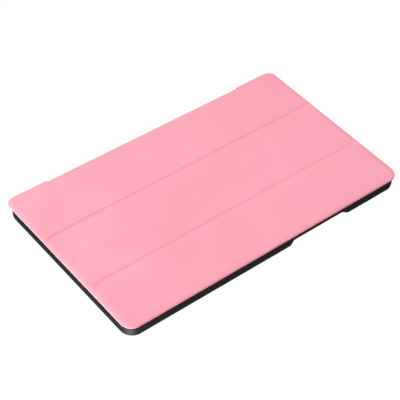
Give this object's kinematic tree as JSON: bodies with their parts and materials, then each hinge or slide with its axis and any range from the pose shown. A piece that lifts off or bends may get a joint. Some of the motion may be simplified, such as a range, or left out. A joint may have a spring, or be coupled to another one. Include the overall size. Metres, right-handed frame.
{
  "type": "tablet case",
  "caption": "Slim folding tablet case: a moulded back shell with a skin-covered cover of three folding panels, hinged along one long side.",
  "frame": {"origin": "centre of the closed case in plan, on the surface that the back shell rests on", "axes": "+X along the long side, towards the end with the camera hole; +Y towards the spine; +Z from the shell's back to the cover"},
  "size_m": [0.2194, 0.1288, 0.0114],
  "materials": {
    "cover_skin": "satin fine-grained leather-look sheet",
    "lining": "short-pile microfibre",
    "shell": "matt moulded",
    "board": "grey pressed board",
    "steel": "plated",
    "adhesive": "clear film"
  },
  "bodies": {
    "shell": {"back_shell": "shell", "spine_adhesive": "adhesive", "skin_back_strip": "cover_skin", "skin_bend_lower": "cover_skin"},
    "spine": {"skin_spine": "cover_skin", "lining_spine": "lining", "skin_bend_upper": "cover_skin", "lining_bend_upper": "lining"},
    "panel_a": {"skin_panel_a": "cover_skin", "board_panel_a": "board", "lining_panel_a": "lining", "keeper_plates": "steel", "skin_crease_1": "cover_skin", "lining_crease_1": "lining"},
    "panel_b": {"skin_panel_b": "cover_skin", "board_panel_b": "board", "lining_panel_b": "lining", "skin_crease_2": "cover_skin", "lining_crease_2": "lining"},
    "panel_c": {"skin_panel_c": "cover_skin", "board_panel_c": "board", "lining_panel_c": "lining", "fold_magnets": "steel", "wake_magnet": "steel"}
  },
  "joints": [
    {"name": "spine_fold", "type": "hinge", "parent": "shell", "child": "spine", "pos_m": [0, 0.06206, 0.00174], "axis": [-1, 0, 0], "range_deg": [0, 175], "deforming": ["skin_bend_lower"]},
    {"name": "cover_fold", "type": "hinge", "parent": "spine", "child": "panel_a", "pos_m": [0, 0.06275, 0.01035], "axis": [-1, 0, 0], "range_deg": [0, 90], "deforming": ["skin_bend_upper", "lining_bend_upper"]},
    {"name": "crease_1_fold", "type": "hinge", "parent": "panel_a", "child": "panel_b", "pos_m": [0, 0.0225, 0.01035], "axis": [-1, 0, 0], "range_deg": [0, 120], "deforming": ["skin_crease_1", "lining_crease_1"]},
    {"name": "crease_2_fold", "type": "hinge", "parent": "panel_b", "child": "panel_c", "pos_m": [0, -0.024, 0.01035], "axis": [-1, 0, 0], "range_deg": [0, 120], "deforming": ["skin_crease_2", "lining_crease_2"]}
  ]
}
